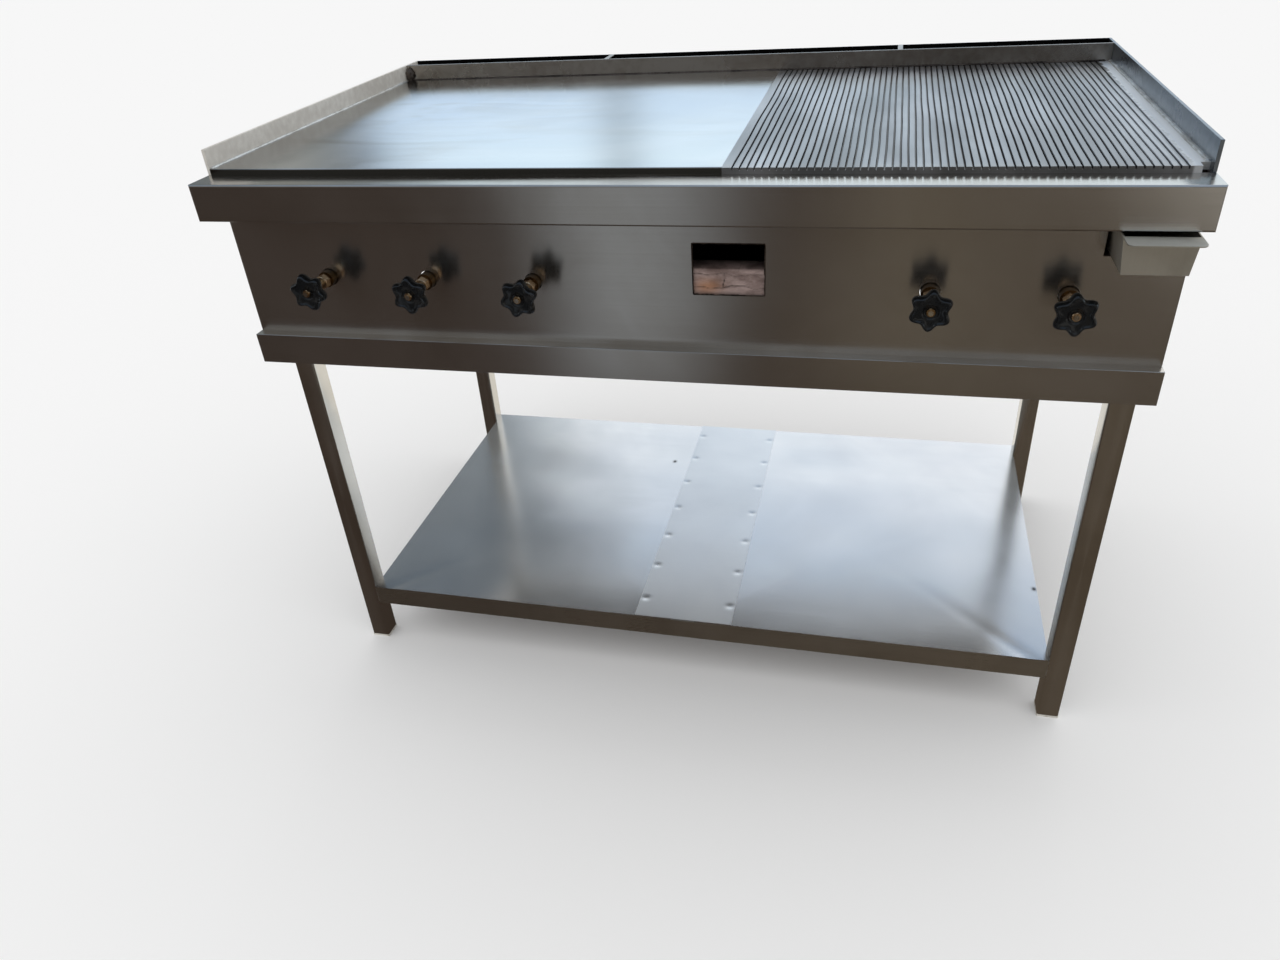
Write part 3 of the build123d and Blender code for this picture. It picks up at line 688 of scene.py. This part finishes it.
def shelf(material, strip_material):
    """Two thin sheets and the lapped centre strip, with spot-weld dimples down both of its seams."""
    for node, lift in (("left_shelf_sheet", 0.0), ("right_shelf_sheet", 6.0)):
        low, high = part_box(node)

        def place(x, y, side, low=low, high=high, lift=lift):
            level = high.z if side else low.z
            return (x, y, level + (sheet_height(x, y, low, high, lift) - 0.3) * MM * 0.9)

        points, faces = slab(steps(low.x, high.x, 90), steps(low.y, high.y, 90), place)
        finish_piece(f"dented_{node}", points, faces, STAND, "shelf_stainless", material, [node])
    low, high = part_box("shelf_centre_strip")
    seams = (low.x + SEAM_INSET, high.x - SEAM_INSET)
    pitch = (high.y - low.y) / SPOT_WELDS

    def strip_place(x, y, side):
        wave = noise.noise(Vector((x * 6.0, y * 5.0, 11.3))) * 0.25
        along = (y - low.y) % pitch - pitch / 2
        dimple = 0.0
        for seam in seams:
            dimple += math.exp(-((x - seam) ** 2 + along ** 2) / DIMPLE_RADIUS ** 2) * 0.9
        level = high.z if side else low.z
        return (x, y, level + (wave - dimple - 0.25) * MM)

    points, faces = slab(steps(low.x, high.x, 54), steps(low.y, high.y, 210), strip_place)
    finish_piece("lapped_centre_strip", points, faces, STAND, "shelf_stainless", strip_material,
                 ["shelf_centre_strip"])


def stand_welds(material):
    """Short fillet beads where the rails meet the legs, and where the legs meet the base frame."""
    meshes = []
    pitch = 3.5 * MM
    rail_low, rail_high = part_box("shelf_rail_front")
    frame_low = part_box("base_frame_front")[0]
    for number, name in enumerate(("front_left_leg", "front_right_leg", "rear_left_leg", "rear_right_leg")):
        low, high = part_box(name)
        inner = high.x if low.x < 0 else low.x
        for y in (low.y + 2 * MM, high.y - 3 * MM):
            meshes.append(bead((inner, y, rail_low.z + 2 * MM), (inner, y, rail_high.z - 2 * MM),
                               1.6 * MM, 0.4, 1.0, pitch, number + y))
        z = frame_low.z - 0.3 * MM
        meshes.append(bead((low.x + 2 * MM, low.y, z), (high.x - 2 * MM, low.y, z),
                           1.5 * MM, 0.4, 1.0, pitch, number + 20))
        meshes.append(bead((inner, low.y + 2 * MM, z), (inner, high.y - 2 * MM, z),
                           1.5 * MM, 0.4, 1.0, pitch, number + 40))
    finish_piece("stand_weld_beads", *join(*meshes), STAND, "tube_stainless", material)


# ---------------------------------------------------------------- fire brick and the torn window
def brick(material):
    """A broken-edged fire brick, with cracks that run across its face."""
    low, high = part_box("fire_brick")
    columns = steps(low.x, high.x, 150)
    rows = steps(low.z, high.z, 84)
    depths = {}

    def crack_at(x, z):
        found = 0.0
        for n in range(5):
            level = low.z + (high.z - low.z) * (0.30 + 0.155 * n)
            path = level + 5.5 * MM * noise.noise(Vector((x * 34, n * 3.7, 0)))
            path += 1.6 * MM * noise.noise(Vector((x * 150, n * 9.1, 2)))
            width = (0.5 + 0.9 * max(0.0, noise.noise(Vector((x * 28, n, 5))))) * MM
            strength = 0.55 + 0.6 * noise.noise(Vector((x * 16, n * 1.9, 8)))
            found = max(found, strength * math.exp(-((z - path) / width) ** 2))
        for n in range(6):
            middle = low.x + (high.x - low.x) * (0.28 + 0.095 * n)
            path = middle + 5 * MM * noise.noise(Vector((z * 60, n * 4.1, 3)))
            run = max(0.0, noise.noise(Vector((z * 42, n * 2.3, 9))) * 2)
            found = max(found, run * math.exp(-((x - path) / (0.6 * MM)) ** 2))
        return min(1.0, max(0.0, found))

    def place(x, z, side):
        edge = min(x - low.x, high.x - x, z - low.z, high.z - z)
        rounded = max(0.0, 1 - edge / (3 * MM)) ** 2 * 2.2 * MM
        if side == 0:
            return (x, high.y - rounded, z)
        crack = crack_at(x, z)
        rough = 0.5 + 0.5 * noise.fractal(Vector((x * 55, 0.3, z * 90)), 0.9, 2.0, 4)
        depths[(x, z)] = crack
        uneven = 1.4 * MM * max(0.0, min(1.0, rough))
        top = 0.0
        if high.z - z < 0.1 * MM:
            top = 1.8 * MM * (0.5 + 0.5 * noise.noise(Vector((x * 90, 1, 1))))
        return (x, low.y + rounded + uneven + 2.2 * MM * crack, z - top)

    points, faces = slab(columns, rows, place)
    piece = finish_piece("cracked_fire_brick", points, faces, STAND, "fire_clay", material,
                         ["fire_brick"], crease=60)
    # The crack attribute carries the painted shade for the insides of the cracks.
    values = piece.data.attributes.new("crack", "FLOAT", "POINT")
    front_y = low.y + 12 * MM
    for vertex, value in zip(piece.data.vertices, values.data):
        value.value = crack_at(vertex.co.x, vertex.co.z) if vertex.co.y < front_y else 0.0


WINDOW_WIDTH, WINDOW_HEIGHT = 90 * MM, 66 * MM
WINDOW_X = 90 * MM
WINDOW_RISE = 73 * MM


def window_edge(material):
    """The torn edge left by cutting the lighting window with a torch: a thin ragged rim."""
    panel_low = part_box("front_panel")[0]
    low = Vector((WINDOW_X - WINDOW_WIDTH / 2, 0, panel_low.z + WINDOW_RISE))
    high = low + Vector((WINDOW_WIDTH, 0, WINDOW_HEIGHT))
    outline = []
    for x in steps(low.x, high.x, 60)[:-1]:
        outline.append((x, low.z, 0, 1))
    for z in steps(low.z, high.z, 44)[:-1]:
        outline.append((high.x, z, -1, 0))
    for x in reversed(steps(low.x, high.x, 60)[1:]):
        outline.append((x, high.z, 0, -1))
    for z in reversed(steps(low.z, high.z, 44)[1:]):
        outline.append((low.x, z, 1, 0))
    front = panel_low.y
    rings = [[], [], [], []]
    for number, (x, z, inward_x, inward_z) in enumerate(outline):
        tear = 0.5 + 0.5 * noise.noise(Vector((number * 0.23, 4.0, 0))) + 0.35 * noise.noise(
            Vector((number * 0.9, 1.0, 6)))
        reach = max(0.25, 2.1 * tear - 0.3)
        curl = 0.55 * noise.noise(Vector((number * 0.4, 2.0, 2)))
        section = ((-1.0, -0.05), (-0.1, -0.45), (reach, 0.35 + curl), (-0.2, 1.2))
        for ring, (inward, back) in zip(rings, section):
            inward *= MM
            ring.append((x + inward_x * inward, front + back * MM, z + inward_z * inward))
    finish_piece("torn_window_edge", *skin(rings, loop=True), STAND, "panel_stainless", material, crease=70)


# ---------------------------------------------------------------- CAD nodes that keep their shape
def dress(node, material, bevel=0.0):
    """Gives a CAD node its material, and softens its sheared edges."""
    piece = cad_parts[node]
    for material_slot in piece.material_slots:
        material_slot.material = material
    if not bevel:
        return
    weld = piece.modifiers.new("weld", "WELD")
    weld.merge_threshold = 0.01 * MM
    soften = piece.modifiers.new("soften", "BEVEL")
    soften.width = bevel * MM
    soften.segments = 2
    soften.limit_method = "ANGLE"
    soften.angle_limit = math.radians(40)
    soften.harden_normals = True


# ---------------------------------------------------------------- room
FLOOR_REACH = 40.0


def flat_sheet(name, half, z):
    mesh = bpy.data.meshes.new(name)
    corners = [(-half, -half, z), (half, -half, z), (half, half, z), (-half, half, z)]
    mesh.from_pydata(corners, [], [(0, 1, 2, 3)])
    sheet = bpy.data.objects.new(name, mesh)
    bpy.context.scene.collection.objects.link(sheet)
    return sheet


def room():
    """A pale floor for the eye, and a darker ground with lighter patches that only the metal mirrors."""
    floor = flat_sheet("floor", FLOOR_REACH, 0.0)
    floor.visible_glossy = False
    material, g = new_material("pale_floor")
    g.surface({"Base Color": rgba((0.93, 0.93, 0.93)), "Roughness": 0.9, "Specular IOR Level": 0.0})
    floor.data.materials.append(material)

    ground = flat_sheet("mirrored_ground", FLOOR_REACH, -2 * MM)
    ground.visible_camera = False
    ground.visible_diffuse = False
    ground.visible_shadow = False
    ground.visible_transmission = False
    material, g = new_material("mirrored_ground")
    axis = g.axes(g.place())
    ahead = g.math("ADD", axis["Y"], 1.8)
    middle = g.math("MULTIPLY_ADD", ahead, 0.295, -0.445)
    half = g.math("MULTIPLY_ADD", ahead, -0.138, 0.245)
    patch = g.math("DIVIDE", g.math("SUBTRACT", axis["X"], middle), half)
    patch = g.math("POWER", math.e ** -0.9, g.math("POWER", g.math("ABSOLUTE", patch), 3.0))
    front_only = g.band(axis["Y"], -1.15, -1.75)
    patch = g.math("MULTIPLY", patch, front_only)
    rightwards = g.band(axis["X"], -0.6, 1.0)
    dark = g.mix(rightwards, (0.054, 0.041, 0.034), (0.098, 0.079, 0.061))
    warm = g.math("MULTIPLY", g.hill(axis["X"], 0.42, 0.26), front_only)
    dark = g.mix(g.math("MULTIPLY", warm, 0.6), dark, (0.19, 0.165, 0.125))
    colour = g.mix(patch, dark, (0.31, 0.33, 0.35))
    end_patch = g.math("MULTIPLY", g.band(axis["X"], 1.34, 1.46), g.band(axis["Y"], -2.2, -2.7))
    colour = g.mix(end_patch, colour, (0.44, 0.42, 0.38))
    behind = g.band(axis["Y"], 0.30, 0.50)
    colour = g.mix(behind, colour, (1.0, 1.0, 0.98))
    sideways = g.band(g.math("ABSOLUTE", axis["X"]), 1.9, 3.2)
    sideways = g.math("MULTIPLY", sideways, g.band(axis["Y"], -2.0, -1.0))
    colour = g.mix(g.math("MULTIPLY", sideways, 0.7), colour, (0.38, 0.37, 0.36))
    g.emission(colour, 1.0)
    ground.data.materials.append(material)


SKY_STRENGTH = 1.25


def sky():
    """White to the eye and for soft light; the metal mirrors a bluish-white sky over a brown horizon."""
    world = bpy.data.worlds.new("studio")
    bpy.context.scene.world = world
    g = Graph(world)
    direction = g.node("ShaderNodeTexCoord").outputs["Generated"]
    axis = g.axes(direction)
    colour = g.ramp(axis["Z"], [(0.0, (0.10, 0.085, 0.07)), (0.07, (0.17, 0.15, 0.13)),
                                (0.13, (0.42, 0.54, 0.70)), (0.17, (0.52, 0.67, 0.88)),
                                (0.24, (0.74, 0.91, 1.0)), (0.50, (1.0, 1.0, 1.0)),
                                (0.56, (0.66, 0.77, 0.90)), (0.64, (0.25, 0.33, 0.44)),
                                (1.0, (0.28, 0.35, 0.45))])
    bearing = g.math("MULTIPLY", g.math("ARCTAN2", axis["X"], axis["Y"]), 180 / math.pi)
    low = g.band(axis["Z"], 0.42, 0.30)
    slanted = g.math("MULTIPLY_ADD", axis["Z"], -28.0, g.math("ADD", bearing, 5.6))
    trees = g.math("MULTIPLY", g.band(slanted, -28.5, -31.0), g.band(bearing, -90.0, -75.0))
    trees = g.math("MULTIPLY", trees, g.band(axis["Z"], 0.9, 0.7))
    gap = g.math("MULTIPLY", g.hill(bearing, -35.0, 2.5), low)
    foliage = g.mix(gap, (0.07, 0.08, 0.085), (0.20, 0.19, 0.155))
    colour = g.mix(g.math("MULTIPLY", trees, 0.9), colour, foliage)
    trunk = g.math("MULTIPLY", g.hill(bearing, -15.5, 1.3), low)
    colour = g.mix(g.math("MULTIPLY", trunk, 0.55), colour, (0.25, 0.30, 0.34))
    high = g.math("MULTIPLY", g.band(axis["Z"], 0.3, 0.45), g.band(axis["Z"], 0.64, 0.52))
    glare = g.math("MULTIPLY", g.hill(bearing, 16.0, 13.0), high)
    colour = g.mix(g.math("MULTIPLY", glare, 0.9), colour, (1.0, 1.0, 1.0))
    haze = g.math("MULTIPLY", g.hill(bearing, 40.0, 19.0), g.band(axis["Z"], 0.05, 0.12))
    colour = g.mix(g.math("MULTIPLY", haze, low), colour, (0.7, 0.72, 0.74))
    indoors = g.math("MULTIPLY", g.band(axis["Y"], 0.0, -0.35), g.band(axis["Z"], 0.75, 0.45))
    colour = g.mix(g.math("MULTIPLY", indoors, 0.92), colour, (0.09, 0.078, 0.066))
    path = g.node("ShaderNodeLightPath").outputs
    colour = g.mix(path["Is Glossy Ray"], (1.0, 1.0, 1.0), colour)
    strength = g.math("MULTIPLY_ADD", path["Is Glossy Ray"], SKY_STRENGTH - 1.0, 1.0)
    g.emission(colour, strength, "ShaderNodeOutputWorld")


# ---------------------------------------------------------------- making it
def main():
    bpy.context.scene.view_settings.view_transform = "Standard"
    make_camera()
    sky()
    room()

    stainless, stain = (0.66, 0.64, 0.61), (0.56, 0.53, 0.49)
    panel = brushed("panel_stainless_x", stainless, stain, 0.2)
    panel_side = brushed("panel_stainless_y", stainless, stain, 0.2, "y")
    soot_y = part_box("back_panel")[1].y - 1.0 * MM
    sooty_panel = brushed("back_panel_stainless", stainless, stain, 0.2, soot_y=soot_y)
    tube = brushed("tube_stainless_z", (0.74, 0.70, 0.63), (0.60, 0.56, 0.49), 0.24, "z")
    rail = brushed("tube_stainless_x", (0.64, 0.60, 0.52), (0.50, 0.46, 0.39), 0.30)
    rail_side = brushed("tube_stainless_y", (0.64, 0.60, 0.52), (0.50, 0.46, 0.39), 0.30, "y")
    shelf_steel = brushed("shelf_stainless", (0.78, 0.79, 0.80), (0.72, 0.73, 0.75), 0.22, "flat", 0.3,
                          spots=SHELF_SPOTS)
    strip_steel = brushed("strip_stainless", (0.84, 0.85, 0.86), (0.78, 0.79, 0.81), 0.32, "flat", 0.3)
    drawer = brushed("drawer_stainless", (0.86, 0.84, 0.76), (0.66, 0.63, 0.55), 0.5, "z", 0.2, 9.0, 0.3)
    guard = plain_metal("guard_steel", (0.46, 0.43, 0.39), (0.34, 0.30, 0.26), 0.26, 16.0)
    # Painted reflection: the left guard's cream-white colour paints the bright sky its inner face mirrors,
    # over the guard steel's own tone.
    painted_bright_reflection_guard = plain_metal("painted_bright_reflection_guard_steel", (0.80, 0.78, 0.73), (0.64, 0.61, 0.56), 0.45, 16.0,
                             metallic=0.2)
    # Painted reflection: the right guard's blue-grey colour paints the blue sky its inner face mirrors.
    painted_sky_reflection_guard = plain_metal("painted_sky_reflection_guard_steel", (0.25, 0.28, 0.32), (0.17, 0.20, 0.23), 0.26, 16.0)
    weld = plain_metal("bright_weld", (0.94, 0.93, 0.90), (0.60, 0.57, 0.52), 0.45, 90.0, 0.5, 0.3)
    burnt = plain_metal("burnt_weld", (0.22, 0.18, 0.15), (0.05, 0.04, 0.035), 0.6, 90.0, 0.6, 0.5)
    mild = plain_metal("mild_steel", (0.12, 0.11, 0.10), (0.05, 0.04, 0.035), 0.55)
    pipe = plain_metal("pipe_steel", (0.48, 0.47, 0.45), (0.28, 0.25, 0.22), 0.42)
    iron = plain_metal("burner_iron", (0.08, 0.07, 0.065), (0.035, 0.028, 0.024), 0.62, 60.0, 0.6, 0.4)
    aged = plain_metal("aged_brass", (0.20, 0.12, 0.05), (0.05, 0.03, 0.015), 0.35, 120.0, 0.3, 0.1)
    brass = plain_metal("brass", (0.86, 0.62, 0.40), (0.36, 0.22, 0.10), 0.26, 120.0, 0.2, 0.1)
    spindle = plain_metal("spindle_steel", (0.72, 0.66, 0.55), (0.40, 0.34, 0.27), 0.25, 150.0)
    plastic = pale_plastic()

    plate_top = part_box("smooth_griddle_plate")[1].z
    smooth_plate(smooth_plate_steel(plate_top))
    bars_low, bars_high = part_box("grooved_griddle_plate")
    grooved_plate(grooved_plate_steel(plate_top, bars_high.x, bars_low.y))
    plate_welds(weld, burnt)
    wheel = bakelite()
    for number in range(1, 6):
        handwheel(number, wheel)
    nuts(brass)
    inlet_thread(pipe)
    legs(tube)
    shelf(shelf_steel, strip_steel)
    stand_welds(weld)
    brick(fire_clay())
    window_edge(burnt)

    dress("top_apron", panel)
    dress("front_panel", panel)
    dress("back_panel", sooty_panel, 0.4)
    dress("left_side_panel", panel_side, 0.4)
    dress("right_side_panel", panel_side, 0.4)
    dress("base_frame_front", panel, 0.7)
    dress("base_frame_rear", panel, 0.7)
    dress("base_frame_sides", panel_side, 0.7)
    dress("grease_drawer", drawer, 0.5)
    # Painted reflection: the left guard is painted cream-bright, as the sky it mirrors.
    dress("left_splash_guard", painted_bright_reflection_guard, 0.7)
    # Painted reflection: the right guard is painted blue-grey, as the sky it mirrors.
    dress("right_splash_guard", painted_sky_reflection_guard, 0.7)
    for node in ("back_splash_guard", "flue_tabs"):
        dress(node, guard, 0.7)
    for node in ("shelf_rail_front", "shelf_rail_rear"):
        dress(node, rail, 0.8)
    dress("shelf_side_rails", rail_side, 0.8)
    dress("leg_end_caps", plastic, 0.8)
    for node in ("floor_pan", "plate_supports", "burner_rails", "drawer_runners", "manifold_brackets",
                 "grease_chute"):
        dress(node, mild, 0.3)
    for node in ("gas_manifold", "manifold_end_cap", "inlet_elbow"):
        dress(node, pipe)
    dress("pipe_burners", iron)
    dress("gas_jets", brass)
    for number in range(1, 6):
        dress(f"gas_valve_{number}", aged)
        dress(f"valve_stem_{number}", spindle)


main()
